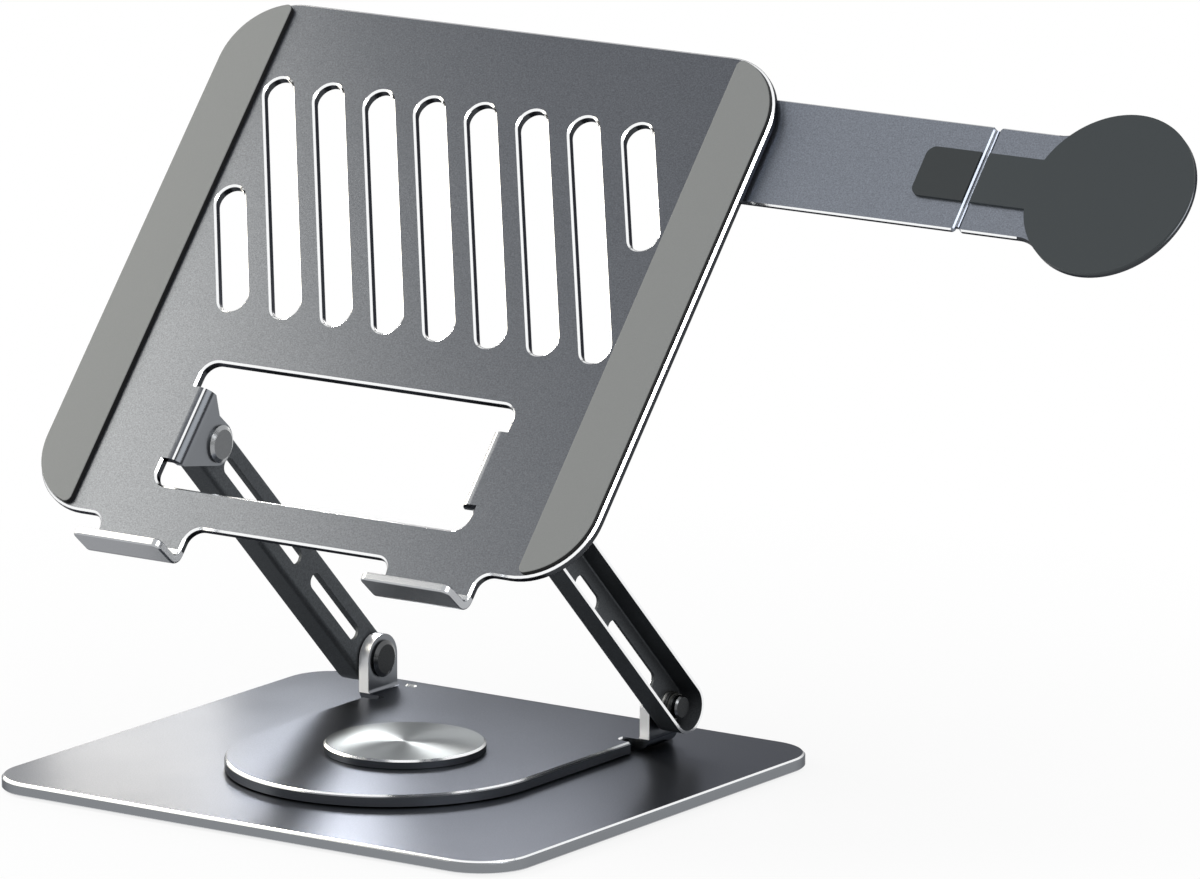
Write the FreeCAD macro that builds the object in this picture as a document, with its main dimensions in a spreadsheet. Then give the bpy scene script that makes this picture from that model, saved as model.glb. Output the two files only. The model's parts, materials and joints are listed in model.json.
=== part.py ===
"""Swivelling laptop stand with a slotted tray, two folding legs and a slide-out phone arm.

Millimetres, +Z up. The user sits at -Y and +X is to the user's right. The origin lies on the
swivel axis, in the plane that the feet stand on. The tray and all that it carries are drawn flat
in the tray's own frame (x across, y up the slope, z out of the face) and placed on the legs.
"""
import FreeCAD, Part
import Sketcher
import math
import os

Vector = FreeCAD.Vector
Rotation = FreeCAD.Rotation
Placement = FreeCAD.Placement

CUT_MARGIN = 1.0  # how far a cut runs past the metal

# Driving dimensions

SIZES = [
    # Feet and base plate
    ("foot_height", 1.0, "height of the feet below the base plate"),
    ("foot_recess", 0.6, "depth of the pockets that hold the feet"),
    ("foot_radius", 11.0, "radius of a corner foot"),
    ("foot_inset", 20.0, "corner foot centre to the edge of the base"),
    ("foot_bevel", 0.3, "bevel round the underside of a foot"),
    ("center_foot_radius", 20.0, "radius of the pad under the swivel"),
    ("base_width", 243.0, "base plate along X"),
    ("base_depth", 223.0, "base plate along Y"),
    ("base_thickness", 5.0, "base plate thickness"),
    ("base_corner", 21.0, "corner radius of the base plate"),
    ("base_chamfer", 1.0, "polished chamfer round the top of the base"),
    ("base_underside", 0.5, "chamfer round the underside of the base"),
    # Swivel
    ("running_gap", 0.05, "radial clearance of every turning fit"),
    ("hub_radius", 10.0, "shank of the swivel bolt"),
    ("thread_radius", 8.0, "threaded end of the swivel bolt"),
    ("hub_flange_radius", 18.0, "head of the swivel bolt"),
    ("hub_flange_height", 1.2, "thickness of the head of the swivel bolt"),
    ("nut_flats", 26.0, "swivel nut across its flats"),
    ("nut_height", 2.0, "swivel nut thickness"),
    ("nut_recess_radius", 17.0, "pocket for the swivel nut"),
    ("nut_recess_depth", 2.6, "depth of the pocket for the swivel nut"),
    ("pivot_washer_radius", 20.0, "friction washer under the bolt head"),
    ("pivot_washer_height", 0.8, "thickness of that washer"),
    ("glide_gap", 0.6, "air between base and turntable"),
    ("glide_recess", 0.6, "groove for the glide ring in the turntable"),
    ("glide_inner", 40.0, "inner radius of the glide ring"),
    ("glide_outer", 52.0, "outer radius of the glide ring"),
    ("cap_radius", 31.5, "radius of the cap over the swivel"),
    ("cap_height", 3.6, "height of the cap"),
    ("cap_chamfer", 0.8, "polished rim of the cap"),
    ("cap_cavity_radius", 26.0, "hollow inside the cap"),
    ("cap_cavity_height", 2.4, "depth of the hollow inside the cap"),
    ("cap_dish", 0.2, "how far the spun face sinks at its centre"),
    # Turntable plate with two bent ears
    ("plate_thickness", 4.5, "turntable sheet"),
    ("plate_half_width", 64.5, "half width and front radius of the turntable"),
    ("plate_front_centre", 9.0, "front arc centre ahead of the swivel axis"),
    ("plate_rear", 91.2, "rear edge behind the swivel axis"),
    ("rear_tip_set_back", 0.6, "rear corners inside the full half width"),
    ("rear_tip_corner", 1.7, "rear corner radius"),
    ("rear_tip_flat", 0.1, "straight part between the two curves of a rear tip"),
    ("relief_mouth", 1.2, "rounded mouth of a bend relief"),
    ("plate_chamfer", 1.0, "polished chamfer round the turntable"),
    ("ear_inner", 65.0, "inner face of an ear from the centre"),
    ("ear_bend", 1.5, "inside radius of the ear bend"),
    ("ear_width", 19.6, "ear along Y"),
    ("relief_front", 4.5, "bend relief ahead of an ear"),
    ("relief_rear", 2.5, "bend relief behind an ear"),
    ("relief_depth", 5.6, "bend relief inwards from the bend line"),
    ("hinge_back", 75.4, "lower hinge axis behind the swivel axis"),
    ("hinge_rise", 17.8, "lower hinge axis above the base plate"),
    # Hinge pins and washers
    ("pin_radius", 4.0, "hinge pin shank"),
    ("pin_head_radius", 7.4, "hinge pin head"),
    ("pin_head_height", 1.8, "thickness of the pin head"),
    ("pin_head_face", 5.8, "flat face of the pin head"),
    ("pin_head_bevel", 0.9, "depth of the bevel round that face"),
    ("pin_tip_radius", 4.75, "riveted outer end of the pin"),
    ("pin_tip_height", 2.3, "thickness of the riveted end"),
    ("pin_tip_bevel", 0.7, "bevel of the riveted end"),
    ("washer_radius", 8.6, "friction washer beside a leg"),
    ("washer_height", 0.6, "friction washer thickness"),
    ("spring_radius", 5.6, "disc spring outer radius"),
    ("spring_height", 3.2, "pair of disc springs, pressed together"),
    ("spring_sheet", 0.8, "disc spring sheet"),
    ("spring_waist", 0.4, "width of the rims on which two disc springs touch"),
    ("collar_radius", 4.9, "thrust collar over the disc springs"),
    ("collar_height", 1.7, "thrust collar thickness"),
    # Legs
    ("leg_length", 149.0, "between the two hinge axes of a leg"),
    ("leg_angle", 45.1, "leg above the horizontal, leaning forward"),
    ("leg_width", 20.0, "leg across"),
    ("leg_depth", 11.5, "depth of the leg pan"),
    ("leg_floor", 1.3, "floor of the leg pan"),
    ("leg_wall", 1.2, "rim of the leg pan"),
    ("leg_bend", 2.0, "outside radius between floor and rim"),
    ("leg_slot_width", 6.6, "slots in the leg floor"),
    ("leg_slot_lower_start", 14.5, "lower slot, near end from the lower axis"),
    ("leg_slot_lower_end", 56.5, "lower slot, far end from the lower axis"),
    ("leg_slot_middle_start", 67.5, "middle slot, near end from the lower axis"),
    ("leg_slot_middle_end", 87.5, "middle slot, far end from the lower axis"),
    ("leg_slot_upper_start", 98.5, "upper slot, near end from the lower axis"),
    ("leg_slot_upper_end", 136.0, "upper slot, far end from the lower axis"),
    # Tray
    ("tray_width", 260.0, "tray across"),
    ("tray_height", 231.0, "tray up the slope"),
    ("tray_thickness", 3.5, "tray sheet"),
    ("tray_corner", 29.0, "tray corner radius"),
    ("tray_chamfer", 0.9, "polished chamfer on the tray's edges"),
    ("tray_angle", 49.4, "tray above the horizontal"),
    ("tray_axis_up", 45.9, "upper hinge axis above the tray's lower edge"),
    ("tray_axis_back", 19.35, "upper hinge axis behind the tray's face"),
    ("window_half_width", 73.3, "half width of the window"),
    ("window_bottom", 15.9, "lower edge of the window"),
    ("window_top", 71.1, "upper edge of the window"),
    ("window_corner", 6.3, "corner radius of the window"),
    ("tab_inner", 66.0, "inner face of a tray tab from the centre"),
    ("tab_bend", 1.7, "inside radius of the tab bend"),
    ("tab_bottom", 27.5, "lower end of the tab bend"),
    ("tab_top", 59.5, "upper end of the tab bend"),
    ("tab_end_radius", 8.5, "round end of a tab about the hinge axis"),
    ("tab_knee", 12.3, "corner in the upper side of a tab, behind the tray's face"),
    ("slot_width", 12.3, "cooling slot across"),
    ("slot_slant", 27.1, "cooling slot away from upright"),
    ("slot_pitch", 24.2, "long slots, centre to centre"),
    ("slot_count", 7, "long slots"),
    ("slot_bottom", 93.7, "lower tips of the slots"),
    ("slot_top", 197.2, "upper tips of the slots"),
    ("short_slot_pitch", 25.2, "short slot to its neighbour"),
    ("short_slot_reach", 53.6, "short slot, tip to tip up the slope"),
    ("hook_centre", 67.7, "hook centre from the middle"),
    ("hook_width", 41.0, "hook across"),
    ("hook_drop", 16.5, "outer face of the hook below the tray edge"),
    ("hook_rise", 14.0, "hook lip above the tray's face"),
    ("hook_bend", 2.0, "inside radius of the hook bend"),
    ("hook_root", 6.0, "fillet between hook and tray edge"),
    ("hook_corner", 3.0, "corner radius of the lip"),
    ("hook_edge", 0.8, "rounded edges of the lip"),
    ("pad_inner", 105.3, "inner edge of a side pad from the centre"),
    ("pad_inset", 1.2, "side pad inside the tray outline"),
    ("pad_thickness", 2.0, "side pad thickness"),
    ("pad_corner", 2.5, "inner corners of a side pad"),
    ("pad_edge", 0.4, "rounded top edge of a side pad"),
    # Phone arm
    ("arm_drop", 35.9, "arm centre line below the tray's upper edge"),
    ("arm_width", 45.6, "arm bar across"),
    ("arm_thickness", 2.0, "arm bar and disc plate"),
    ("arm_clearance", 1.7, "tray back to the arm bar"),
    ("arm_end", 93.0, "hidden end of the bar from the centre"),
    ("arm_fold", 224.3, "fold line from the centre"),
    ("arm_chamfer", 0.6, "polished edge of the bar and disc plate"),
    ("lug_length", 5.5, "stop lugs along the bar"),
    ("lug_width", 3.0, "stop lugs out of the bar's sides"),
    ("lug_corner", 1.0, "corner radius of the stop lugs"),
    ("fold_gap", 2.2, "gap between bar and disc plate"),
    ("fold_corner", 1.5, "corner radius of both plates at the fold"),
    ("hinge_inset", 1.5, "sides of the arm to the ends of the fold hinge"),
    ("knuckle_radius", 0.95, "fold hinge barrel"),
    ("knuckle_count", 5, "knuckles, in turn on the bar and on the disc plate"),
    ("knuckle_play", 0.1, "play between knuckles"),
    ("fold_pin_radius", 0.45, "fold hinge pin"),
    ("disc_distance", 58.7, "fold line to the disc centre"),
    ("disc_radius", 34.5, "phone disc"),
    ("disc_neck_fillet", 12.0, "fillet between neck and disc"),
    ("arm_pad_thickness", 1.2, "rubber facing of the arm"),
    ("arm_pad_length", 24.1, "facing on the bar, from its end"),
    ("arm_pad_width", 21.5, "facing across, on the bar and on the neck"),
    ("arm_pad_corner", 4.0, "corner radius of the facing on the bar"),
    ("magnet_inner", 23.0, "magnet ring inner radius"),
    ("magnet_outer", 27.5, "magnet ring outer radius"),
    ("magnet_height", 0.8, "magnet ring thickness"),
    # Guide of the phone arm on the tray's back
    ("guide_length", 18.0, "guide rails along X"),
    ("guide_play", 0.5, "rails to the stop lugs"),
    ("rail_overlap", 3.0, "rail over the edge of the bar"),
    ("rail_width", 7.0, "rail outside the bar"),
    ("rail_web", 0.95, "rail under the bar"),
    ("bracket_thickness", 1.0, "steel bracket over the rails"),
    ("bracket_corner", 2.0, "corner radius of the bracket"),
    ("screw_inset", 4.5, "guide screws to the ends of the rails"),
    ("screw_radius", 1.25, "guide screws"),
    ("screw_head_radius", 2.4, "guide screw heads"),
    ("screw_head_height", 0.9, "guide screw head thickness"),
    ("screw_head_bevel", 0.4, "bevel of the guide screw heads"),
    ("screw_depth", 2.0, "guide screws into the tray"),
]

doc = FreeCAD.newDocument("laptop_stand")
sheet = doc.addObject("Spreadsheet::Sheet", "Sizes")
for row, (alias, value, meaning) in enumerate(SIZES, start=1):
    sheet.set(f"A{row}", meaning)
    sheet.set(f"B{row}", str(value))
    sheet.setAlias(f"B{row}", alias)
doc.recompute()

PARTS = []


def size(alias):
    """Value of one cell of the sheet."""
    return float(sheet.get(alias))


# Levels and places that several pieces share

base_bottom = size("foot_height")
base_top = base_bottom + size("base_thickness")
plate_bottom = base_top + size("glide_gap")
plate_top = plate_bottom + size("plate_thickness")
ear_outer = size("ear_inner") + size("plate_thickness")
leg_inner = ear_outer + size("washer_height")
leg_outer = leg_inner + size("leg_floor")
tab_outer = size("tab_inner") + size("tray_thickness")
lower_axis = Vector(0, size("hinge_back"), base_top + size("hinge_rise"))
leg_rad = math.radians(size("leg_angle"))
leg_line = Vector(0, -math.cos(leg_rad), math.sin(leg_rad))
upper_axis = lower_axis + leg_line * size("leg_length")
bore_radius = size("pin_radius") + size("running_gap")
arm_level = size("tray_height") - size("arm_drop")
arm_front = -size("tray_thickness") - size("arm_clearance")
arm_back = arm_front - size("arm_thickness")
arm_middle = (arm_front + arm_back) / 2
hinge_low = arm_level - size("arm_width") / 2 + size("hinge_inset")
hinge_length = size("arm_width") - 2 * size("hinge_inset")
bar_end = size("arm_fold") - size("fold_gap") / 2
disc_start = size("arm_fold") + size("fold_gap") / 2
disc_centre = size("arm_fold") + size("disc_distance")
guide_start = size("arm_end") + size("lug_length") + size("guide_play")
rail_back = arm_back - size("rail_web")
screw_offset = size("arm_width") / 2 + size("rail_width") / 2


def tray_placement():
    """Frame of the tray: its lower edge's middle, on the face, turned to the tray's angle."""
    turn = Rotation(Vector(1, 0, 0), size("tray_angle"))
    axis_in_tray = Vector(0, size("tray_axis_up"), -size("tray_axis_back"))
    return Placement(upper_axis - turn.multVec(axis_in_tray), turn)


TRAY = tray_placement()


# Helpers for bodies and sketches

def new_body(label, placement=None):
    """A sub-part whose label names its node and its file."""
    body = doc.addObject("PartDesign::Body", label)
    body.Label = label
    if placement is not None:
        body.Placement = placement
    PARTS.append(body)
    return body


def new_sketch(body, name, plane, level=0.0):
    """A sketch on one of the body's origin planes, moved along that plane's normal."""
    sketch = body.newObject("Sketcher::SketchObject", name)
    support = [item for item in body.Origin.OriginFeatures if item.Role == plane]
    sketch.AttachmentSupport = [(support[0], "")]
    sketch.MapMode = "FlatFace"
    sketch.AttachmentOffset = Placement(Vector(0, 0, level), Rotation())
    return sketch


def draw_rectangle(sketch, width, depth):
    """A centred rectangle whose sides are bound to two cells of the sheet."""
    x, y = size(width) / 2, size(depth) / 2
    corners = [Vector(-x, -y, 0), Vector(x, -y, 0), Vector(x, y, 0), Vector(-x, y, 0)]
    for here, there in zip(corners, corners[1:] + corners[:1]):
        sketch.addGeometry(Part.LineSegment(here, there), False)
    for line in range(4):
        sketch.addConstraint(Sketcher.Constraint("Coincident", line, 2, (line + 1) % 4, 1))
        sketch.addConstraint(Sketcher.Constraint("Vertical" if line % 2 else "Horizontal", line))
    sketch.addConstraint(Sketcher.Constraint("Symmetric", 0, 1, 2, 1, -1, 1))
    bind(sketch, Sketcher.Constraint("DistanceX", 0, 1, 0, 2, 2 * x), width)
    bind(sketch, Sketcher.Constraint("DistanceY", 1, 1, 1, 2, 2 * y), depth)


def bind(sketch, constraint, alias, factor=""):
    """Add a dimension to a sketch and bind it to a cell of the sheet."""
    index = sketch.addConstraint(constraint)
    sketch.renameConstraint(index, f"{alias}_{index}")
    sketch.setExpression(f"Constraints.{alias}_{index}", f"Sizes.{alias}{factor}")


def draw_circle(sketch, x, y, alias, extra=""):
    """A circle whose radius is bound to a cell, with an optional further term."""
    radius = size(alias) + sum(size(word) for word in extra.split() if word)
    normal = Vector(0, 0, 1)
    index = sketch.addGeometry(Part.Circle(Vector(x, y, 0), normal, radius), False)
    term = "".join(f" + Sizes.{word}" for word in extra.split())
    bind(sketch, Sketcher.Constraint("Radius", index, radius), alias, term)


def draw_outline(sketch, corners):
    """A closed outline through (x, y, radius) corners, each rounded by its own radius."""
    points = [Vector(x, y, 0) for x, y, _ in corners]
    starts, ends, middles = [], [], []
    for index, (corner, (_, _, radius)) in enumerate(zip(points, corners)):
        back = (points[index - 1] - corner).normalize()
        ahead = (points[(index + 1) % len(points)] - corner).normalize()
        if radius == 0:
            starts.append(corner)
            ends.append(corner)
            middles.append(None)
            continue
        half = back.getAngle(ahead) / 2
        bisector = (back + ahead).normalize()
        centre = corner + bisector * (radius / math.sin(half))
        starts.append(corner + back * (radius / math.tan(half)))
        ends.append(corner + ahead * (radius / math.tan(half)))
        middles.append(centre - bisector * radius)
    for index in range(len(points)):
        if middles[index] is not None:
            sketch.addGeometry(Part.Arc(starts[index], middles[index], ends[index]), False)
        following = starts[(index + 1) % len(points)]
        if ends[index].distanceToPoint(following) > 1e-6:
            sketch.addGeometry(Part.LineSegment(ends[index], following), False)


def draw_bar(sketch, start, end, radius):
    """A slot outline with round ends about two centre points."""
    along = (end - start).normalize()
    across = Vector(-along.y, along.x, 0) * radius
    tip = along * radius
    sketch.addGeometry(Part.LineSegment(start + across, end + across), False)
    sketch.addGeometry(Part.Arc(end + across, end + tip, end - across), False)
    sketch.addGeometry(Part.LineSegment(end - across, start - across), False)
    sketch.addGeometry(Part.Arc(start - across, start - tip, start + across), False)


def pad(body, sketch, length, reverse=False):
    """Extrude a sketch by a length given as an expression of the sheet."""
    feature = body.newObject("PartDesign::Pad", sketch.Name + "_pad")
    feature.Profile = sketch
    feature.Reversed = reverse
    feature.setExpression("Length", length)
    doc.recompute()
    return feature


def pocket(body, sketch, length=None, reverse=False):
    """Cut a sketch out of the body, right through both ways if no length is given."""
    before = body.Shape.Volume
    feature = body.newObject("PartDesign::Pocket", sketch.Name + "_cut")
    feature.Profile = sketch
    if length is None:
        feature.Type = "ThroughAll"
        feature.SideType = "Symmetric"
    else:
        feature.Reversed = reverse
        feature.setExpression("Length", length)
    doc.recompute()
    if not feature.Shape.Volume < before - 1e-6:
        raise RuntimeError(f"{feature.Name} in {body.Label} cuts nothing")
    return feature


def edges_where(feature, test):
    """Names of the edges whose every sampled point passes a test."""
    names = []
    for number, edge in enumerate(feature.Shape.Edges, start=1):
        points = edge.discretize(5)
        if all(test(point) for point in points):
            names.append(f"Edge{number}")
    return names


def bevel(body, feature, names, alias, kind="Chamfer"):
    """Chamfer or fillet the named edges by a cell of the sheet."""
    dressed = body.newObject("PartDesign::" + kind, f"{feature.Name}_{kind.lower()}")
    dressed.Base = (feature, names)
    dressed.setExpression("Size" if kind == "Chamfer" else "Radius", f"Sizes.{alias}")
    doc.recompute()
    return dressed


def turned(label, profile, placement=None):
    """A turned piece: a closed profile of (radius, height) points revolved about its Z axis."""
    body = new_body(label, placement)
    sketch = new_sketch(body, label + "_profile", "XZ_Plane")
    draw_outline(sketch, [(radius, height, 0) for radius, height in profile])
    feature = body.newObject("PartDesign::Revolution", label + "_turned")
    feature.Profile = sketch
    feature.ReferenceAxis = (sketch, ["V_Axis"])
    feature.Angle = 360
    doc.recompute()
    return body


def ring(inner, outer, bottom, top):
    """Profile of a plain washer."""
    return [(inner, bottom), (outer, bottom), (outer, top), (inner, top)]


def sideways(side, x, axis):
    """Placement that turns a piece's Z axis outwards along X, on one side of the stand."""
    return Placement(Vector(side * x, axis.y, axis.z), Rotation(Vector(0, 1, 0), 90 * side))


def on(level):
    """A tester for points that lie in a horizontal plane."""
    return lambda point: abs(point.z - level) < 1e-4


# Base plate, feet and swivel bolt

def make_base_plate():
    body = new_body("base_plate", Placement(Vector(0, 0, base_bottom), Rotation()))
    outline = new_sketch(body, "base_outline", "XY_Plane")
    draw_rectangle(outline, "base_width", "base_depth")
    slab = pad(body, outline, "Sizes.base_thickness")
    upright = edges_where(slab, lambda p: abs(abs(p.x) - size("base_width") / 2) < 1e-4
                          and abs(abs(p.y) - size("base_depth") / 2) < 1e-4)
    rounded = bevel(body, slab, upright, "base_corner", "Fillet")
    cut = bevel(body, rounded, edges_where(rounded, on(size("base_thickness"))), "base_chamfer")
    bevel(body, cut, edges_where(cut, on(0)), "base_underside")
    bore = new_sketch(body, "base_bore", "XY_Plane")
    draw_circle(bore, 0, 0, "hub_radius")
    pocket(body, bore)
    nut_seat = new_sketch(body, "nut_seat", "XY_Plane")
    draw_circle(nut_seat, 0, 0, "nut_recess_radius")
    pocket(body, nut_seat, "Sizes.nut_recess_depth", reverse=True)
    seats = new_sketch(body, "foot_seats", "XY_Plane")
    for x, y in foot_places():
        draw_circle(seats, x, y, "foot_radius")
    pocket(body, seats, "Sizes.foot_recess", reverse=True)


def foot_places():
    """Centres of the four corner feet."""
    x = size("base_width") / 2 - size("foot_inset")
    y = size("base_depth") / 2 - size("foot_inset")
    return [(-x, -y), (x, -y), (-x, y), (x, y)]


def make_feet():
    radius, top = size("foot_radius"), size("foot_height") + size("foot_recess")
    edge = size("foot_bevel")
    names = ["front_left", "front_right", "rear_left", "rear_right"]
    for name, (x, y) in zip(names, foot_places()):
        profile = [(0, 0), (radius - edge, 0), (radius, edge), (radius, top), (0, top)]
        turned("foot_" + name, profile, Placement(Vector(x, y, 0), Rotation()))
    radius = size("center_foot_radius")
    profile = [(0, 0), (radius - edge, 0), (radius, edge), (radius, base_bottom), (0, base_bottom)]
    turned("foot_center", profile)


def make_swivel_bolt():
    seat = base_bottom + size("nut_recess_depth")
    head = plate_top + size("pivot_washer_height")
    tip = seat - size("nut_height")
    profile = [(0, tip), (size("thread_radius"), tip), (size("thread_radius"), seat),
               (size("hub_radius"), seat), (size("hub_radius"), head),
               (size("hub_flange_radius"), head),
               (size("hub_flange_radius"), head + size("hub_flange_height")),
               (0, head + size("hub_flange_height"))]
    turned("swivel_bolt", profile)
    body = new_body("swivel_nut", Placement(Vector(0, 0, tip), Rotation()))
    outline = new_sketch(body, "nut_outline", "XY_Plane")
    corner = size("nut_flats") / math.sqrt(3)
    turns = [math.radians(60 * step) for step in range(6)]
    draw_outline(outline, [(corner * math.cos(t), corner * math.sin(t), 0) for t in turns])
    draw_circle(outline, 0, 0, "thread_radius")
    pad(body, outline, "Sizes.nut_height")


def make_swivel_washers():
    bore = size("hub_radius") + size("running_gap")
    bottom, top = base_top, plate_bottom + size("glide_recess")
    turned("glide_ring", ring(size("glide_inner"), size("glide_outer"), bottom, top))
    top = plate_top + size("pivot_washer_height")
    turned("swivel_washer", ring(bore, size("pivot_washer_radius"), plate_top, top))


def make_cap():
    radius, height, rim = size("cap_radius"), size("cap_height"), size("cap_chamfer")
    cavity, ceiling = size("cap_cavity_radius"), size("cap_cavity_height")
    profile = [(0, ceiling), (cavity, ceiling), (cavity, 0), (radius, 0), (radius, height - rim),
               (radius - rim, height), (0, height - size("cap_dish"))]
    turned("swivel_cap", profile, Placement(Vector(0, 0, plate_top), Rotation()))


# Turntable plate

def make_turntable():
    thick, half = size("plate_thickness"), size("plate_half_width")
    front, rear = -size("plate_front_centre") - half, size("plate_rear")
    bend_line = size("ear_inner") - size("ear_bend")
    inner = bend_line - size("relief_depth")
    ear_front = size("hinge_back") - size("ear_width") / 2
    ear_rear = size("hinge_back") + size("ear_width") / 2
    cut_front, cut_rear = ear_front - size("relief_front"), ear_rear + size("relief_rear")
    body = new_body("turntable_plate", Placement(Vector(0, 0, plate_bottom), Rotation()))
    outline = new_sketch(body, "turntable_outline", "XY_Plane")
    tip, blend = half - size("rear_tip_set_back"), size("rear_tip_corner")
    right = [(half, front, half), (half, cut_front, size("relief_mouth")),
             (inner, cut_front, size("relief_front") / 2), (inner, cut_rear, size("relief_rear") / 2),
             (tip, cut_rear, rear - cut_rear - blend - size("rear_tip_flat")), (tip, rear, blend)]
    left = [(-x, y, radius) for x, y, radius in reversed(right)]
    draw_outline(outline, right + left)
    plate = pad(body, outline, "Sizes.plate_thickness")
    bevel(body, plate, edges_where(plate, on(thick)), "plate_chamfer")
    groove = new_sketch(body, "glide_groove", "XY_Plane")
    draw_circle(groove, 0, 0, "glide_outer")
    draw_circle(groove, 0, 0, "glide_inner")
    pocket(body, groove, "Sizes.glide_recess", reverse=True)
    bore = new_sketch(body, "turntable_bore", "XY_Plane")
    draw_circle(bore, 0, 0, "hub_radius", "running_gap")
    pocket(body, bore)
    ears = new_sketch(body, "ear_profile", "XZ_Plane", -ear_rear)
    top = lower_axis.z - plate_bottom + size("ear_width") / 2
    for side in (1, -1):
        draw_bent_strip(ears, side, inner - thick, bend_line, 0, top)
    pad(body, ears, "Sizes.ear_width")
    trim = new_sketch(body, "ear_trim", "YZ_Plane")
    draw_arch_trim(trim, size("hinge_back"), lower_axis.z - plate_bottom, size("ear_width") / 2)
    pocket(body, trim)
    holes = new_sketch(body, "ear_holes", "YZ_Plane")
    draw_circle(holes, size("hinge_back"), lower_axis.z - plate_bottom, "pin_radius")
    pocket(body, holes)


def draw_bent_strip(sketch, side, start, bend_line, bottom, top):
    """Section of the turntable sheet where it turns up into an ear."""
    thick, bend = size("plate_thickness"), size("ear_bend")
    outer = bend_line + bend + thick
    draw_outline(sketch, [(side * start, bottom, 0), (side * outer, bottom, bend + thick),
                          (side * outer, top, 0), (side * (outer - thick), top, 0),
                          (side * (outer - thick), bottom + thick, bend),
                          (side * start, bottom + thick, 0)])


def draw_arch_trim(sketch, y, z, radius):
    """What is cut away above a round end."""
    far = radius + CUT_MARGIN
    left, right, crown = Vector(y - radius, z, 0), Vector(y + radius, z, 0), Vector(y, z + radius, 0)
    sketch.addGeometry(Part.Arc(left, crown, right), False)
    path = [right, Vector(y + far, z, 0), Vector(y + far, z + far, 0), Vector(y - far, z + far, 0),
            Vector(y - far, z, 0), left]
    for here, there in zip(path, path[1:]):
        sketch.addGeometry(Part.LineSegment(here, there), False)


# Hinges

def make_hinge(name, axis, inner_face, side):
    """Pin, friction washer, disc springs and thrust collar of one hinge, from the inside out."""
    hand = "left" if side < 0 else "right"
    head, bevelled = size("pin_head_height"), size("pin_head_bevel")
    radius, shank = size("pin_head_radius"), size("pin_radius")
    stack = leg_outer - inner_face + size("spring_height") + size("collar_height")
    tip, tip_bevel = size("pin_tip_radius"), size("pin_tip_bevel")
    end = stack + size("pin_tip_height")
    profile = [(0, -head), (size("pin_head_face"), -head), (radius, bevelled - head), (radius, 0),
               (shank, 0), (shank, stack), (tip, stack), (tip, end - tip_bevel),
               (tip - tip_bevel, end), (0, end)]
    turned(f"{name}_pin_{hand}", profile, sideways(side, inner_face, axis))
    washer = ring(shank, size("washer_radius"), 0, size("washer_height"))
    turned(f"{name}_washer_{hand}", washer, sideways(side, leg_inner - size("washer_height"), axis))
    turned(f"{name}_spring_{hand}", spring_profile(), sideways(side, leg_outer, axis))
    collar = ring(shank, size("collar_radius"), 0, size("collar_height"))
    collar_place = sideways(side, leg_outer + size("spring_height"), axis)
    turned(f"{name}_collar_{hand}", collar, collar_place)


def spring_profile():
    """Two disc springs back to back, touching at their inner rims."""
    inner, outer = size("pin_radius"), size("spring_radius")
    height, sheet_height = size("spring_height"), size("spring_sheet")
    middle, rise = height / 2, height / 2 - size("spring_sheet")
    waist = inner + size("spring_waist")
    return [(inner, rise), (outer, 0), (outer, sheet_height), (waist, middle),
            (outer, height - sheet_height), (outer, height), (inner, height - rise)]


# Legs

def make_leg(side):
    """One leg: a pan with a flat floor towards the hinges and a rim turned outwards."""
    hand = "left" if side < 0 else "right"
    out = Vector(side, 0, 0)
    across = leg_line.cross(out)
    turn = Rotation(across, leg_line, out, "ZYX")
    body = new_body(f"leg_{hand}", Placement(lower_axis + out * leg_inner, turn))
    near, far = Vector(0, 0, 0), Vector(0, size("leg_length"), 0)
    outline = new_sketch(body, f"leg_outline_{hand}", "XY_Plane")
    draw_bar(outline, near, far, size("leg_width") / 2)
    blank = pad(body, outline, "Sizes.leg_depth")
    blank = bevel(body, blank, edges_where(blank, on(0)), "leg_bend", "Fillet")
    hollow = new_sketch(body, f"leg_hollow_{hand}", "XY_Plane", size("leg_floor"))
    draw_bar(hollow, near, far, size("leg_width") / 2 - size("leg_wall"))
    pan = pocket(body, hollow, "Sizes.leg_depth", reverse=True)
    corner = edges_where(pan, on(size("leg_floor")))
    inner = body.newObject("PartDesign::Fillet", f"leg_inner_bend_{hand}")
    inner.Base = (pan, corner)
    inner.setExpression("Radius", "Sizes.leg_bend - Sizes.leg_floor")
    holes = new_sketch(body, f"leg_holes_{hand}", "XY_Plane")
    for centre in (near, far):
        draw_circle(holes, centre.x, centre.y, "pin_radius", "running_gap")
    pocket(body, holes)
    slots = new_sketch(body, f"leg_slots_{hand}", "XY_Plane")
    radius = size("leg_slot_width") / 2
    for part in ("lower", "middle", "upper"):
        start = size(f"leg_slot_{part}_start") + radius
        end = size(f"leg_slot_{part}_end") - radius
        draw_bar(slots, Vector(0, start, 0), Vector(0, end, 0), radius)
    pocket(body, slots)


# Tray

def make_tray():
    body = new_body("tray", TRAY)
    thick = size("tray_thickness")
    outline = new_sketch(body, "tray_outline", "XY_Plane")
    draw_outline(outline, tray_outline())
    plate = pad(body, outline, "Sizes.tray_thickness", reverse=True)
    window = new_sketch(body, "tray_window", "XY_Plane")
    half, corner = size("window_half_width"), size("window_corner")
    low, high = size("window_bottom"), size("window_top")
    draw_outline(window, [(-half, low, corner), (half, low, corner),
                          (half, high, corner), (-half, high, corner)])
    pocket(body, window)
    slots = new_sketch(body, "tray_slots", "XY_Plane")
    for start, end in tray_slots():
        draw_bar(slots, start, end, size("slot_width") / 2)
    plate = pocket(body, slots)
    bevel(body, plate, edges_where(plate, on(0)), "tray_chamfer")
    make_tabs(body, thick)
    make_hooks(body, thick)


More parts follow.
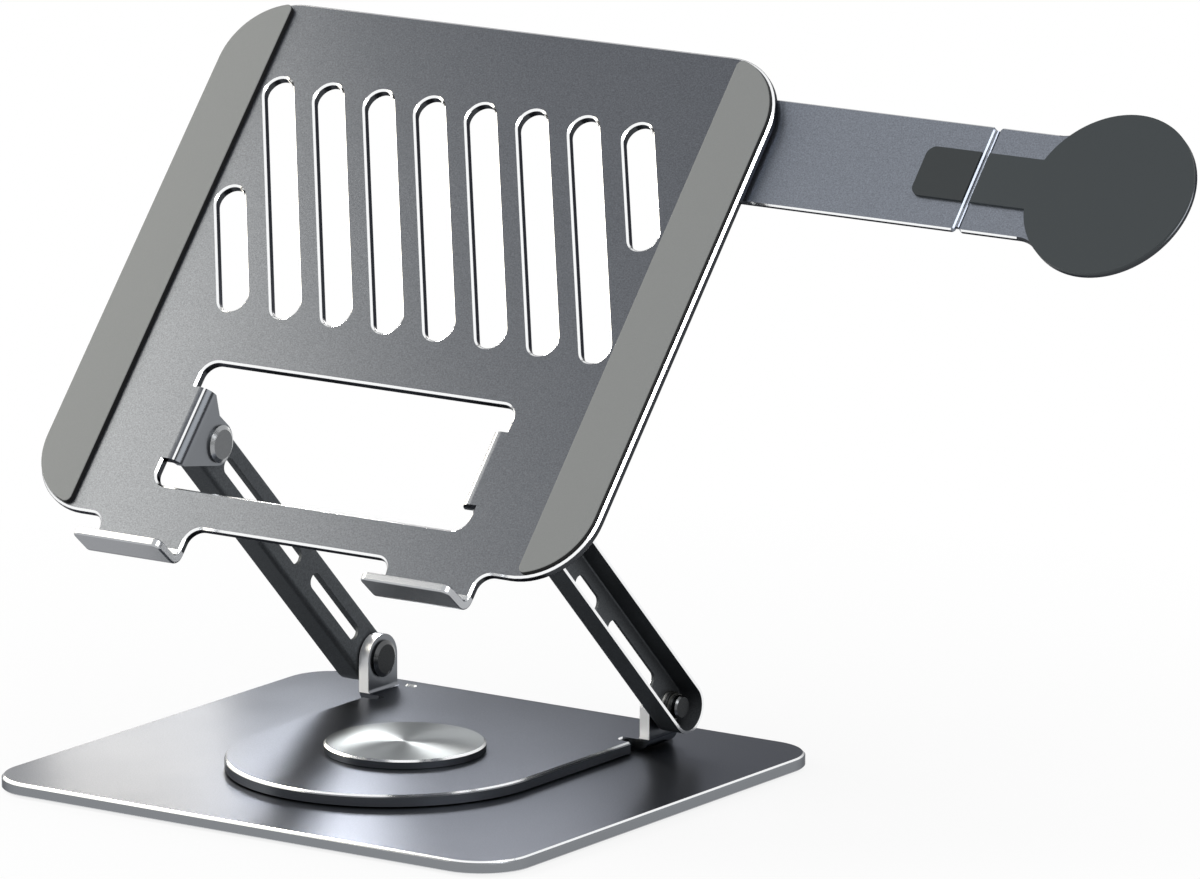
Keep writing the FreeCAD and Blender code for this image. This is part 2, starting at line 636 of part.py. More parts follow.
def tray_outline():
    """Tray and flat tongues of the two hooks, up to the bend of each hook."""
    half, height, corner = size("tray_width") / 2, size("tray_height"), size("tray_corner")
    low = hook_bend_start()
    near = size("hook_centre") - size("hook_width") / 2
    far = size("hook_centre") + size("hook_width") / 2
    root = size("hook_root")
    right = [(near, 0, root), (near, low, 0), (far, low, 0), (far, 0, root),
             (half, 0, corner), (half, height, corner)]
    return right + [(-x, y, radius) for x, y, radius in reversed(right)]


def hook_bend_start():
    """Where the tongue of a hook stops being flat, along the tray."""
    return -size("hook_drop") + size("hook_bend") + size("tray_thickness")


def tray_slots():
    """End centres of the long slots and of the short one at each side."""
    lean = math.tan(math.radians(size("slot_slant")))
    radius = size("slot_width") / 2
    low, high = size("slot_bottom") + radius, size("slot_top") - radius
    middle = (low + high) / 2
    reach = size("short_slot_reach") - 2 * radius

    def point(x, y):
        return Vector(x - lean * (y - middle), y, 0)
    count = int(size("slot_count"))
    lines = [size("slot_pitch") * (index - (count - 1) / 2) for index in range(count)]
    slots = [(point(x, low), point(x, high)) for x in lines]
    side = lines[-1] + size("short_slot_pitch")
    slots.append((point(-side, low), point(-side, low + reach)))
    slots.append((point(side, high - reach), point(side, high)))
    return slots


def make_tabs(body, thick):
    """The two tabs that are bent back from the window's sides and carry the hinges."""
    low, high, bend = size("tab_bottom"), size("tab_top"), size("tab_bend")
    axis_up, axis_back, end = size("tray_axis_up"), -size("tray_axis_back"), size("tab_end_radius")
    outer = size("tab_inner") + thick
    rim = size("window_half_width") + size("tray_chamfer") + thick
    sections = new_sketch(body, "tab_sections", "XZ_Plane", -high)
    for side in (1, -1):
        draw_outline(sections, [
            (side * rim, 0, 0), (side * size("tab_inner"), 0, bend + thick),
            (side * size("tab_inner"), axis_back - end, 0), (side * outer, axis_back - end, 0),
            (side * outer, -thick, bend), (side * rim, -thick, 0)])
    length = "Sizes.tab_top - Sizes.tab_bottom"
    pad(body, sections, length)
    shoulder = -(bend + thick)
    floor = axis_back - end
    centre = Vector(axis_up, axis_back, 0)
    left = tangent_meets(Vector(low, shoulder, 0), centre, end, floor, -1)
    right = axis_up + end
    knee = Vector(right, -size("tab_knee"), 0)
    lower = ("tab_trim_lower", [Vector(low, shoulder, 0)], Vector(left, floor, 0))
    upper = ("tab_trim_upper", [Vector(high, shoulder, 0), knee], Vector(right, floor, 0))
    for name, side_points, foot in (lower, upper):
        trim = new_sketch(body, name, "YZ_Plane")
        sign = 1 if foot.x > axis_up else -1
        beyond = axis_up + sign * (high - low)
        draw_trim(trim, side_points, foot, centre, end, beyond)
        pocket(body, trim)
    holes = new_sketch(body, "tab_holes", "YZ_Plane")
    draw_circle(holes, axis_up, axis_back, "pin_radius", "running_gap")
    pocket(body, holes)


def tangent_meets(start, centre, radius, level, sign):
    """Where the line from a point, touching a circle on one side, crosses a level below it."""
    away = centre - start
    reach = math.hypot(away.x, away.y)
    heading = math.atan2(away.y, away.x) + sign * math.asin(radius / reach)
    return start.x + (level - start.y) / math.tan(heading)


def draw_trim(sketch, side_points, foot, centre, radius, beyond):
    """Sheet outside one side of a tab and its round end."""
    low_point = Vector(centre.x, foot.y, 0)
    slope = (side_points[-1] - foot).normalize()
    touch = foot + slope * foot.distanceToPoint(low_point)
    middle = centre + (foot - centre).normalize() * radius
    below = foot.y - radius
    path = [low_point, Vector(centre.x, below, 0), Vector(beyond, below, 0),
            Vector(beyond, side_points[0].y, 0)] + side_points + [touch]
    for here, there in zip(path, path[1:]):
        sketch.addGeometry(Part.LineSegment(here, there), False)
    sketch.addGeometry(Part.Arc(touch, middle, low_point), False)


def make_hooks(body, thick):
    """The two hooks: each tongue turns forward at a right angle into a lip."""
    near = size("hook_centre") - size("hook_width") / 2
    start = hook_bend_start() + size("tray_chamfer")
    drop, bend, rise = -size("hook_drop"), size("hook_bend"), size("hook_rise")
    for side, name in ((1, "right"), (-1, "left")):
        level = near if side > 0 else -near - size("hook_width")
        section = new_sketch(body, f"hook_section_{name}", "YZ_Plane", level)
        draw_outline(section, [
            (start, -thick, 0), (drop, -thick, bend + thick), (drop, rise, 0),
            (drop + thick, rise, 0), (drop + thick, 0, bend), (start, 0, 0)])
        lip = pad(body, section, "Sizes.hook_width")
    corners = [name for name in edges_where(lip, on(rise)) if runs_down_the_tray(lip, name)]
    lip = bevel(body, lip, corners, "hook_corner", "Fillet")
    faces = (drop, drop + thick)
    rim = edges_where(lip, lambda p: p.z > bend - 1e-3 and min(abs(p.y - y) for y in faces) < 1e-4)
    bevel(body, lip, rim, "hook_edge", "Fillet")


def make_side_pads():
    inset, inner = size("pad_inset"), size("pad_inner")
    half = size("tray_width") / 2 - inset
    corner = size("tray_corner") - inset
    low, high = inset, size("tray_height") - inset
    for side, name in ((-1, "left"), (1, "right")):
        body = new_body(f"tray_pad_{name}", TRAY)
        outline = new_sketch(body, f"pad_outline_{name}", "XY_Plane")
        draw_outline(outline, [(-half, low, corner), (half, low, corner),
                               (half, high, corner), (-half, high, corner)])
        pad(body, outline, "Sizes.pad_thickness")
        rest = new_sketch(body, f"pad_inner_cut_{name}", "XY_Plane")
        edge, far = side * inner, -side * (half + CUT_MARGIN)
        below, above = low - CUT_MARGIN, high + CUT_MARGIN
        draw_outline(rest, [(edge, below, 0), (far, below, 0), (far, above, 0), (edge, above, 0)])
        strip = pocket(body, rest)
        tall = edges_where(strip, lambda p: abs(p.x - edge) < 1e-4 and
                           min(p.y - low, high - p.y) < corner)
        ends = [name for name in tall if is_upright(strip, name)]
        rounded = bevel(body, strip, ends, "pad_corner", "Fillet")
        rim = edges_where(rounded, on(size("pad_thickness")))
        bevel(body, rounded, rim, "pad_edge", "Fillet")


def is_upright(feature, name):
    """Whether an edge runs along the sketch normal."""
    edge = feature.Shape.getElement(name)
    first, last = edge.Vertexes[0].Point, edge.Vertexes[-1].Point
    return abs(first.z - last.z) > 1e-3 and first.distanceToPoint(last) - abs(first.z - last.z) < 1e-6


def runs_down_the_tray(feature, name):
    """Whether an edge runs along the tray's Y axis."""
    box = feature.Shape.getElement(name).BoundBox
    return box.XLength < 1e-6 and box.YLength > 1e-3


# Phone arm

def make_arm_bar():
    half, start = size("arm_width") / 2, size("arm_end")
    lug_end, lug_half, corner = start + size("lug_length"), half + size("lug_width"), size("lug_corner")
    body = new_body("arm_bar", TRAY)
    outline = new_sketch(body, "bar_outline", "XY_Plane", arm_front)
    upper = [(bar_end, half, size("fold_corner")), (lug_end, half, 0), (lug_end, lug_half, corner),
             (start, lug_half, corner)]
    corners = [(x, arm_level + y, radius) for x, y, radius in upper]
    corners += [(x, arm_level - y, radius) for x, y, radius in reversed(upper)]
    draw_outline(outline, corners)
    plate = pad(body, outline, "Sizes.arm_thickness", reverse=True)
    bevel(body, plate, edges_where(plate, on(arm_front)), "arm_chamfer")
    add_knuckles(body, bar_end, 0, "fold_pin_radius")


def add_knuckles(body, plate_edge, first, bore_size, extra=""):
    """Every second knuckle of the fold hinge, each with a web to its plate, bored for the pin."""
    fold, radius = size("arm_fold"), size("knuckle_radius")
    inward = math.copysign(size("arm_chamfer") + radius, plate_edge - fold)
    count = int(size("knuckle_count"))
    pitch = hinge_length / count
    length = "(Sizes.arm_width - 2 * Sizes.hinge_inset) / Sizes.knuckle_count - Sizes.knuckle_play"
    low, top, end = arm_middle - radius, arm_front - size("arm_chamfer"), plate_edge + inward
    for index in range(first, count, 2):
        high = hinge_low + pitch * (index + 1) - size("knuckle_play") / 2
        web = new_sketch(body, f"{body.Label}_web_{index}", "XZ_Plane", -high)
        draw_outline(web, [(fold, low, 0), (end, low, 0), (end, top, 0), (fold, top, 0)])
        pad(body, web, length)
        barrel = new_sketch(body, f"{body.Label}_barrel_{index}", "XZ_Plane", -high)
        draw_circle(barrel, fold, arm_middle, "knuckle_radius")
        pad(body, barrel, length)
    bore = new_sketch(body, f"{body.Label}_bore", "XZ_Plane")
    draw_circle(bore, fold, arm_middle, bore_size, extra)
    pocket(body, bore)


def make_arm_pad():
    half = size("arm_pad_width") / 2
    start, corner = bar_end - size("arm_pad_length"), size("arm_pad_corner")
    body = new_body("arm_pad", TRAY)
    outline = new_sketch(body, "arm_pad_outline", "XY_Plane", arm_front)
    edge = bar_end - size("arm_chamfer")
    draw_outline(outline, [(start, arm_level - half, corner), (edge, arm_level - half, 0),
                           (edge, arm_level + half, 0), (start, arm_level + half, corner)])
    pad(body, outline, "Sizes.arm_pad_thickness")


def make_fold_pin():
    radius = size("fold_pin_radius")
    foot = Vector(size("arm_fold"), hinge_low, arm_middle)
    place = TRAY.multiply(Placement(foot, Rotation(Vector(1, 0, 0), -90)))
    turned("fold_pin", [(0, 0), (radius, 0), (radius, hinge_length), (0, hinge_length)], place)


def make_disc_plate():
    half, corner = size("arm_width") / 2, size("fold_corner")
    body = new_body("disc_plate", TRAY)
    neck = new_sketch(body, "disc_neck", "XY_Plane", arm_front)
    low, high = arm_level - half, arm_level + half
    draw_outline(neck, [(disc_start, low, corner), (disc_centre, low, 0),
                        (disc_centre, high, 0), (disc_start, high, corner)])
    pad(body, neck, "Sizes.arm_thickness", reverse=True)
    disc = new_sketch(body, "disc_outline", "XY_Plane", arm_front)
    draw_circle(disc, disc_centre, arm_level, "disc_radius")
    plate = pad(body, disc, "Sizes.arm_thickness", reverse=True)
    joint_x = disc_centre - math.sqrt(size("disc_radius") ** 2 - half ** 2)
    joins = edges_where(plate, lambda p: abs(p.x - joint_x) < 1e-3
                        and abs(abs(p.y - arm_level) - half) < 1e-3)
    plate = bevel(body, plate, joins, "disc_neck_fillet", "Fillet")
    bevel(body, plate, edges_where(plate, on(arm_front)), "arm_chamfer")
    groove = new_sketch(body, "magnet_groove", "XY_Plane", arm_front)
    draw_circle(groove, disc_centre, arm_level, "magnet_outer")
    draw_circle(groove, disc_centre, arm_level, "magnet_inner")
    pocket(body, groove, "Sizes.magnet_height")
    add_knuckles(body, disc_start, 1, "fold_pin_radius", "running_gap")


def make_disc_facing():
    half = size("arm_pad_width") / 2
    body = new_body("disc_pad", TRAY)
    tail = new_sketch(body, "disc_pad_tail", "XY_Plane", arm_front)
    edge = disc_start + size("arm_chamfer")
    draw_outline(tail, [(edge, arm_level - half, 0), (disc_centre, arm_level - half, 0),
                        (disc_centre, arm_level + half, 0), (edge, arm_level + half, 0)])
    pad(body, tail, "Sizes.arm_pad_thickness")
    face = new_sketch(body, "disc_pad_face", "XY_Plane", arm_front)
    draw_circle(face, disc_centre, arm_level, "disc_radius")
    pad(body, face, "Sizes.arm_pad_thickness")


def make_magnet_ring():
    place = TRAY.multiply(Placement(Vector(disc_centre, arm_level, arm_front), Rotation()))
    profile = ring(size("magnet_inner"), size("magnet_outer"), -size("magnet_height"), 0)
    turned("magnet_ring", profile, place)


# Guide of the arm

def make_guide():
    half = size("arm_width") / 2
    back, gap = -size("tray_thickness"), size("running_gap")
    inner, outer = half - size("rail_overlap"), half + size("rail_width")
    for side, name in ((1, "upper"), (-1, "lower")):
        body = new_body(f"guide_rail_{name}", TRAY)
        section = new_sketch(body, f"rail_section_{name}", "YZ_Plane", guide_start)
        reach = half + gap
        points = [(inner, back), (outer, back), (outer, rail_back), (inner, rail_back),
                  (inner, arm_back - gap), (reach, arm_back - gap),
                  (reach, arm_front + gap), (inner, arm_front + gap)]
        draw_outline(section, [(arm_level + side * y, z, 0) for y, z in points])
        pad(body, section, "Sizes.guide_length")
        holes = new_sketch(body, f"rail_holes_{name}", "XY_Plane")
        for x in screw_stations():
            draw_circle(holes, x, arm_level + side * screw_offset, "screw_radius")
        pocket(body, holes)
    body = new_body("guide_bracket", TRAY)
    outline = new_sketch(body, "bracket_outline", "XY_Plane", rail_back)
    end, corner = guide_start + size("guide_length"), size("bracket_corner")
    draw_outline(outline, [(guide_start, arm_level - outer, corner), (end, arm_level - outer, corner),
                           (end, arm_level + outer, corner), (guide_start, arm_level + outer, corner)])
    pad(body, outline, "Sizes.bracket_thickness", reverse=True)
    holes = new_sketch(body, "bracket_holes", "XY_Plane")
    for x in screw_stations():
        for side in (1, -1):
            draw_circle(holes, x, arm_level + side * screw_offset, "screw_radius")
    pocket(body, holes)


def screw_stations():
    """Places of the guide screws along X."""
    inset = size("screw_inset")
    return [guide_start + inset, guide_start + size("guide_length") - inset]


def make_guide_screws():
    radius, head = size("screw_radius"), size("screw_head_radius")
    seat = rail_back - size("bracket_thickness")
    grip = size("screw_depth") - size("tray_thickness") - seat
    top, bevelled = -size("screw_head_height"), size("screw_head_bevel")
    profile = [(0, top), (head - bevelled, top), (head, top + bevelled), (head, 0),
               (radius, 0), (radius, grip), (0, grip)]
    for row_name, side in (("upper", 1), ("lower", -1)):
        for column, x in zip(("inner", "outer"), screw_stations()):
            place = Placement(Vector(x, arm_level + side * screw_offset, seat), Rotation())
            turned(f"guide_screw_{row_name}_{column}", profile, TRAY.multiply(place))


def bore_screw_seats():
    """Blind holes for the guide screws in the tray's back."""
    body = doc.getObject("tray")
    holes = new_sketch(body, "guide_screw_holes", "XY_Plane", -size("tray_thickness"))
    for x in screw_stations():
        for side in (1, -1):
            draw_circle(holes, x, arm_level + side * screw_offset, "screw_radius")
    pocket(body, holes, "Sizes.screw_depth", reverse=True)


# Build

def build():
    make_base_plate()
    make_feet()
    make_swivel_bolt()
    make_swivel_washers()
    make_turntable()
    make_cap()
    for side in (-1, 1):
        make_hinge("lower", lower_axis, size("ear_inner"), side)
        make_leg(side)
        make_hinge("upper", upper_axis, size("tab_inner"), side)
    make_tray()
    bore_screw_seats()
    make_side_pads()
    make_guide()
    make_guide_screws()
    make_arm_bar()
    make_arm_pad()
    make_fold_pin()
    make_disc_plate()
    make_disc_facing()
    make_magnet_ring()


def check():
    """Stop unless every object is sound."""
    for item in doc.Objects:
        if "Invalid" in item.State or "Error" in item.State:
            raise RuntimeError(f"{item.Label} failed")
    for body in PARTS:
        if body.Shape.isNull() or not body.Shape.isValid() or len(body.Shape.Solids) != 1:
            raise RuntimeError(f"{body.Label} is not one sound solid")


def write():
    """One STEP file for each sub-part."""
    os.makedirs("parts", exist_ok=True)
    for body in PARTS:
        body.Shape.exportStep(f"parts/{body.Label}.step")


build()
doc.recompute()
check()
write()
print(f"{len(PARTS)} sub-parts written")
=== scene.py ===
"""Looks of a folding laptop stand: finishes, turned details and a plain studio round its frame."""
import json
import math

import bmesh
import bpy
import numpy as np
from bpy.props import FloatProperty, FloatVectorProperty, IntProperty, PointerProperty
from bpy.types import Operator, Panel, PropertyGroup
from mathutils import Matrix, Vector


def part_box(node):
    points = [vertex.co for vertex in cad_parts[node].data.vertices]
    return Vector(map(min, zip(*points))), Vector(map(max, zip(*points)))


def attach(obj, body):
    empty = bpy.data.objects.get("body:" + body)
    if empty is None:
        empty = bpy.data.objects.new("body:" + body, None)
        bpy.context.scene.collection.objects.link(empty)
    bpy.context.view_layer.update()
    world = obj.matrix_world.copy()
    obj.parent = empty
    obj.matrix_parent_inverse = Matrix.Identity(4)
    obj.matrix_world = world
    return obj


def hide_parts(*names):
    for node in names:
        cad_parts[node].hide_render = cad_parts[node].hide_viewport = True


bl_info = {
    "name": "Laptop stand finisher",
    "version": (1, 0, 0),
    "blender": (4, 5, 0),
    "location": "3D View > Sidebar > Laptop Stand",
    "description": "Finishes, turned details and a studio for a folding laptop stand",
    "category": "Object",
}

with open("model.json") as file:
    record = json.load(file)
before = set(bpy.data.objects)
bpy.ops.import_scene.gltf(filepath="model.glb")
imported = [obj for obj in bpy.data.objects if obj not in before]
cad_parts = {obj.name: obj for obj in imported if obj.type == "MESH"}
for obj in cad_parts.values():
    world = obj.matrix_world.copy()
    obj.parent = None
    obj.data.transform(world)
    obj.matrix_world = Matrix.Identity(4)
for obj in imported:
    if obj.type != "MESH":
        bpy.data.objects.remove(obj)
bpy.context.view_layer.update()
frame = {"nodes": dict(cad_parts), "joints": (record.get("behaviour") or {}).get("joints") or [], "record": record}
JOINTS = {joint["name"]: joint for joint in frame["joints"]}
MOUNTS = {mount["name"]: mount for mount in frame["record"]["mounts"]}

# Directions and places of the tray, from the frame's mounts and joints
ACROSS = Vector((1, 0, 0))
SWIVEL = Vector((0, 0, 1))
TRAY_OUT = Vector(MOUNTS["laptop_rest"]["axis"])
TRAY_UP = TRAY_OUT.cross(ACROSS)
PAD_FACE = Vector(MOUNTS["laptop_rest"]["pos_m"]).dot(TRAY_OUT)
FOLD = Vector(JOINTS["disc_fold"]["pos_m"])
MM = 0.001

# Sizes of the solids that the finishes have to meet
PAD_HEIGHT = 2.0 * MM
TRAY_SHEET = 3.5 * MM
TRAY_FACE = PAD_FACE - PAD_HEIGHT
FRONT_TO_MIDDLE = 115.5 * MM
ARM_DEPTH = 5.2 * MM
ARM_SHEET = 2.0 * MM
KNUCKLE = 2.2 * MM
NECK_END = 27 * MM
EAR_BEND = 70 * MM
CAP_RECESS = 26 * MM
CAP_RECESS_HEIGHT = 2.4 * MM
# How far a zone reaches past a face, so that rounding leaves none of it bare, and beyond a piece
HAIR = 0.3 * MM
BEYOND = 60 * MM


def linear(code):
    """Turn an sRGB hex value such as 0x6C7074 into linear red, green, blue and alpha."""
    channels = [(code >> shift & 255) / 255 for shift in (16, 8, 0)]
    curve = [c / 12.92 if c <= 0.04045 else ((c + 0.055) / 1.055) ** 2.4 for c in channels]
    return (*curve, 1.0)


def scaled(colour, factor):
    """A colour made darker or lighter by a factor."""
    return (*(min(channel * factor, 1.0) for channel in colour[:3]), 1.0)


def colour(label, description, code):
    """A colour property with an sRGB default."""
    return FloatVectorProperty(name=label, description=description, subtype="COLOR", size=4,
                               min=0, max=1, default=linear(code))


def length(label, description, value):
    """A length property, in metres."""
    return FloatProperty(name=label, description=description, default=value, unit="LENGTH")


def share(label, description, value):
    """A property between 0 and 1."""
    return FloatProperty(name=label, description=description, default=value, min=0, max=1,
                         subtype="FACTOR")


# Settings

class StandFinishes(PropertyGroup):
    """Colours and surfaces of the stand."""
    anodised: colour("Anodised grey", "Bead-blasted, anodised aluminium", 0x5A5D63)
    arm: colour("Arm grey", "Anodised aluminium of the phone arm", 0x777C85)
    leg: colour("Leg grey", "Anodised aluminium of the legs", 0x585B5E)
    # Painted light: bent faces are the same anodised sheet; this grey, lighter than the anodised grey, paints
    # light on the tray's tabs and the turntable's ears.
    bent: colour("Bent face", "Faces that are bent out of the blasted sheets", 0x7C7F83)
    polished: colour("Polished edge", "Diamond-cut chamfers", 0xFAFBFC)
    hook: colour("Hook metal", "Polished hooks", 0xB2B4B7)
    plate_side: colour("Plate side", "Milled sides of base and turntable", 0x85888C)
    # Painted reflection: this dark grey stands in for the dark reflections on the milled sides of tray and arm,
    # the slot and window walls; the metal there is not dyed darker.
    sheet_side_painted_reflection: colour("Sheet side", "Milled sides of tray and arm, dyed dark", 0x3C3E41)
    spun: colour("Spun face", "Bare aluminium of the swivel cap", 0x86898C)
    pin_upper: colour("Bright nickel", "Plating of the upper hinge pins", 0x6C6E70)
    pin_lower: colour("Black nickel", "Plating of the lower hinge pins and the screws", 0x27292B)
    pin_bevel: colour("Pin bevel", "Turned bevel of a pin head", 0x9A9C9E)
    spring: colour("Spring steel", "Disc springs and thrust collars", 0x8A8A88)
    pad: colour("Pad grey", "Silicone of the side pads", 0x868887)
    # Painted shade: the pads' side faces are the same grey silicone; this near black paints the shade on them, not
    # a carrier layer.
    pad_side_painted_shade: colour("Pad side", "Dark carrier layer at the sides of the pads", 0x101111)
    facing: colour("Slate", "Rubber facing of the phone disc", 0x353B3E)
    foot: colour("Foot black", "Rubber of the feet", 0x17181A)
    acetal: colour("Black acetal", "Guide rails of the arm", 0x1B1C1E)
    glide: colour("Natural acetal", "Glide ring under the turntable", 0xDDDCD6)
    fibre: colour("Friction fibre", "Friction washers", 0x2A2725)
    nickel: colour("Nickel", "Plating of the magnet ring", 0xB0B0B2)
    blast_roughness: share("Blast roughness", "Roughness of the blasted tray and arm", 0.36)
    base_roughness: share("Base roughness", "Roughness of the blasted base and turntable", 0.30)
    leg_roughness: share("Leg roughness", "Roughness of the legs", 0.6)
    side_roughness: share("Side roughness", "Roughness of the milled sides", 0.20)
    polish_roughness: share("Polish roughness", "Roughness of the cut chamfers", 0.14)


class StandDetails(PropertyGroup):
    """Real sizes of the fine detail."""
    blast_grain: length("Blast grain", "Size of one mark of the glass beads", 0.55 * MM)
    silicone_grain: length("Silicone grain", "Fine texture of the silicone moulds", 0.4 * MM)
    turning_pitch: length("Turning pitch", "Feed of the tool over the spun face", 0.5 * MM)
    tray_cut: length("Tray chamfer", "Depth of the tray's chamfers", 0.75 * MM)
    plate_cut: length("Plate chamfer", "Depth of the chamfers on base and turntable", 0.6 * MM)
    arm_cut: length("Arm chamfer", "Depth of the arm's chamfers", 0.6 * MM)
    cap_rim: length("Cap rim", "Polished rim of the cap", 0.8 * MM)
    cap_dish: length("Cap dish", "How far the spun face sinks at its centre", 0.2 * MM)
    steps: IntProperty(name="Steps", description="Faces round a turned piece", default=160, min=24)


class StandStudio(PropertyGroup):
    """Camera and lamps."""
    azimuth: FloatProperty(name="Azimuth", description="Camera to the right of the front",
                           default=math.radians(34.71), unit="ROTATION")
    elevation: FloatProperty(name="Elevation", description="Camera above the horizon",
                             default=math.radians(12.335), unit="ROTATION")
    distance: length("Distance", "Camera to the point it looks at", 4.1)
    target: FloatVectorProperty(name="Target", description="Point that the camera looks at",
                                default=(0.1176, -0.0374, 0.1553), subtype="TRANSLATION")
    lens: FloatProperty(name="Lens", description="Focal length in millimetres", default=327.9)
    key_power: FloatProperty(name="Key", description="Watts of the front lamp", default=8.0)
    side_power: FloatProperty(name="Side", description="Watts of the left soft box", default=6.2)
    low_power: FloatProperty(name="Low strip", description="Watts of the low strip at the rear left",
                             default=0.28)
    rear_power: FloatProperty(name="Rear box", description="Watts of the box behind the left leg",
                              default=1.0)
    strip_power: FloatProperty(name="Strip", description="Watts of the strip behind the turntable",
                               default=0.17)
    high_power: FloatProperty(name="High", description="Watts of the upper right box", default=5.0)
    ambient: FloatProperty(name="Ambient", description="Light from all round", default=0.75)


# Materials

def add_node(tree, kind, links=None, **settings):
    """Add a node with its settings, and link or set its inputs by name or number.

    A node given for an input stands for its first output in use.
    """
    node = tree.nodes.new(kind)
    for name, value in settings.items():
        setattr(node, name, value)
    for key, value in (links or {}).items():
        if isinstance(value, bpy.types.Node):
            value = next(socket for socket in value.outputs if socket.enabled)
        if isinstance(value, bpy.types.NodeSocket):
            tree.links.new(value, node.inputs[key])
        else:
            node.inputs[key].default_value = value
    return node


def new_material(name, metallic=0.0):
    """An empty material, its node tree and its Principled shader."""
    material = bpy.data.materials.new(name)
    material.use_nodes = True
    tree = material.node_tree
    tree.nodes.clear()
    shader = add_node(tree, "ShaderNodeBsdfPrincipled", {"Metallic": metallic})
    add_node(tree, "ShaderNodeOutputMaterial", {"Surface": shader})
    return material, tree, shader


def grain(tree, size, detail=2.0):
    """Noise from 0 to 1 with features of a real size, in object space."""
    place = add_node(tree, "ShaderNodeTexCoord")
    noise = add_node(tree, "ShaderNodeTexNoise",
                     {"Vector": place.outputs["Object"], "Scale": 1 / size, "Detail": detail})
    return add_node(tree, "ShaderNodeMapRange", {"Value": noise, "From Min": 0.3, "From Max": 0.7})


def along(tree, coordinate, direction):
    """How far the surface normal or the surface point goes along a direction."""
    place = add_node(tree, "ShaderNodeTexCoord")
    return add_node(tree, "ShaderNodeVectorMath", {0: place.outputs[coordinate], 1: tuple(direction)},
                    operation="DOT_PRODUCT").outputs["Value"]


def zone(tree, direction, turns=(-2, 2), levels=(-9, 9)):
    """1 where the normal's and the point's reach along a direction lie between two pairs of limits."""
    inside = [add_node(tree, "ShaderNodeMath", {0: along(tree, coordinate, direction),
                                                1: (low + high) / 2, 2: (high - low) / 2},
                       operation="COMPARE")
              for coordinate, (low, high) in (("Normal", turns), ("Object", levels))]
    return both(tree, *inside)


def both(tree, first, second):
    """1 where two zones meet."""
    return add_node(tree, "ShaderNodeMath", {0: first, 1: second}, operation="MULTIPLY")


def cover(tree, tone, rough, mask, new_tone, new_rough):
    """Lay another tone and roughness over a surface where a mask is 1."""
    return (add_node(tree, "ShaderNodeMix", {0: mask, 6: tone, 7: new_tone}, data_type="RGBA"),
            add_node(tree, "ShaderNodeMix", {0: mask, 2: rough, 3: new_rough}, data_type="FLOAT"))


def blasted(name, body, roughness):
    """Bead-blasted, anodised aluminium, begun with its even satin face.

    Blasting leaves a fine speckle without direction, drawn a little coarser than the real 0.1 mm
    so that it shows. The dark dye takes most of the brightness that bare metal has at a flat angle.
    """
    details = bpy.context.scene.stand_details
    material, tree, shader = new_material(name, metallic=1.0)
    shader.inputs["Specular Tint"].default_value = (0.40, 0.40, 0.41, 1)
    speck = grain(tree, details.blast_grain)
    tone = add_node(tree, "ShaderNodeMix", {0: speck, 6: scaled(body, 0.79), 7: scaled(body, 1.21)},
                    data_type="RGBA")
    rough = add_node(tree, "ShaderNodeMapRange", {"Value": grain(tree, 40 * MM),
                                                  "To Min": roughness - 0.01, "To Max": roughness + 0.01})
    bump = add_node(tree, "ShaderNodeBump", {"Height": speck, "Distance": 0.004 * MM})
    tree.links.new(bump.outputs["Normal"], shader.inputs["Normal"])
    return material, tree, shader, tone, rough


def finish(tree, shader, tone, rough):
    """Link the worked-out tone and roughness to the shader."""
    tree.links.new(next(socket for socket in tone.outputs if socket.enabled), shader.inputs["Base Color"])
    tree.links.new(next(socket for socket in rough.outputs if socket.enabled), shader.inputs["Roughness"])


def sheet_metal(name, body, roughness, out, top, thickness, depth, side_tone_and_painted_shade,
                kept=(ACROSS, -9, 9)):
    """A blasted sheet with smooth milled sides and diamond-cut chamfers. The sides take the given side colour,
    which is the milled tone on base and turntable and a dark painted reflection on tray and arm.

    The chamfers are bare metal cut after anodising, so they are bright and nearly a mirror. They
    are cut only where the way along the direction in kept lies between its two limits, in metres.
    """
    finishes = bpy.context.scene.stand_finishes
    material, tree, shader, tone, rough = blasted(name, body, roughness)
    back = top - thickness
    # Milled sides take the given side colour: the milled tone on base and turntable, a dark painted reflection on
    # tray and arm.
    side = zone(tree, out, (-0.93, 0.93), (back, top))
    tone, rough = cover(tree, tone, rough, side, tuple(side_tone_and_painted_shade), finishes.side_roughness)
    for turns, levels in (((0.5, 0.93), (top - depth, top)), ((-0.93, -0.5), (back, back + depth))):
        edge = both(tree, zone(tree, out, turns, levels), zone(tree, kept[0], levels=kept[1:]))
        tone, rough = cover(tree, tone, rough, edge, tuple(finishes.polished),
                            finishes.polish_roughness)
    return material, tree, shader, tone, rough


def plated(name, body, roughness, bevel=None):
    """Plated or rolled steel: a smooth metal with a faint unevenness in tone and gloss."""
    material, tree, shader = new_material(name, metallic=1.0)
    speck = grain(tree, 0.7 * MM)
    tone = add_node(tree, "ShaderNodeMix", {0: speck, 6: scaled(body, 0.88), 7: tuple(body)},
                    data_type="RGBA")
    rough = add_node(tree, "ShaderNodeMapRange", {"Value": speck, "To Min": roughness - 0.04,
                                                  "To Max": roughness + 0.04})
    if bevel is not None:
        for turns in ((0.3, 0.95), (-0.95, -0.3)):
            edge = zone(tree, ACROSS, turns)
            tone, rough = cover(tree, tone, rough, edge, tuple(bevel), 0.2)
    finish(tree, shader, tone, rough)
    bump = add_node(tree, "ShaderNodeBump", {"Height": speck, "Distance": 0.002 * MM})
    tree.links.new(bump.outputs["Normal"], shader.inputs["Normal"])
    return material


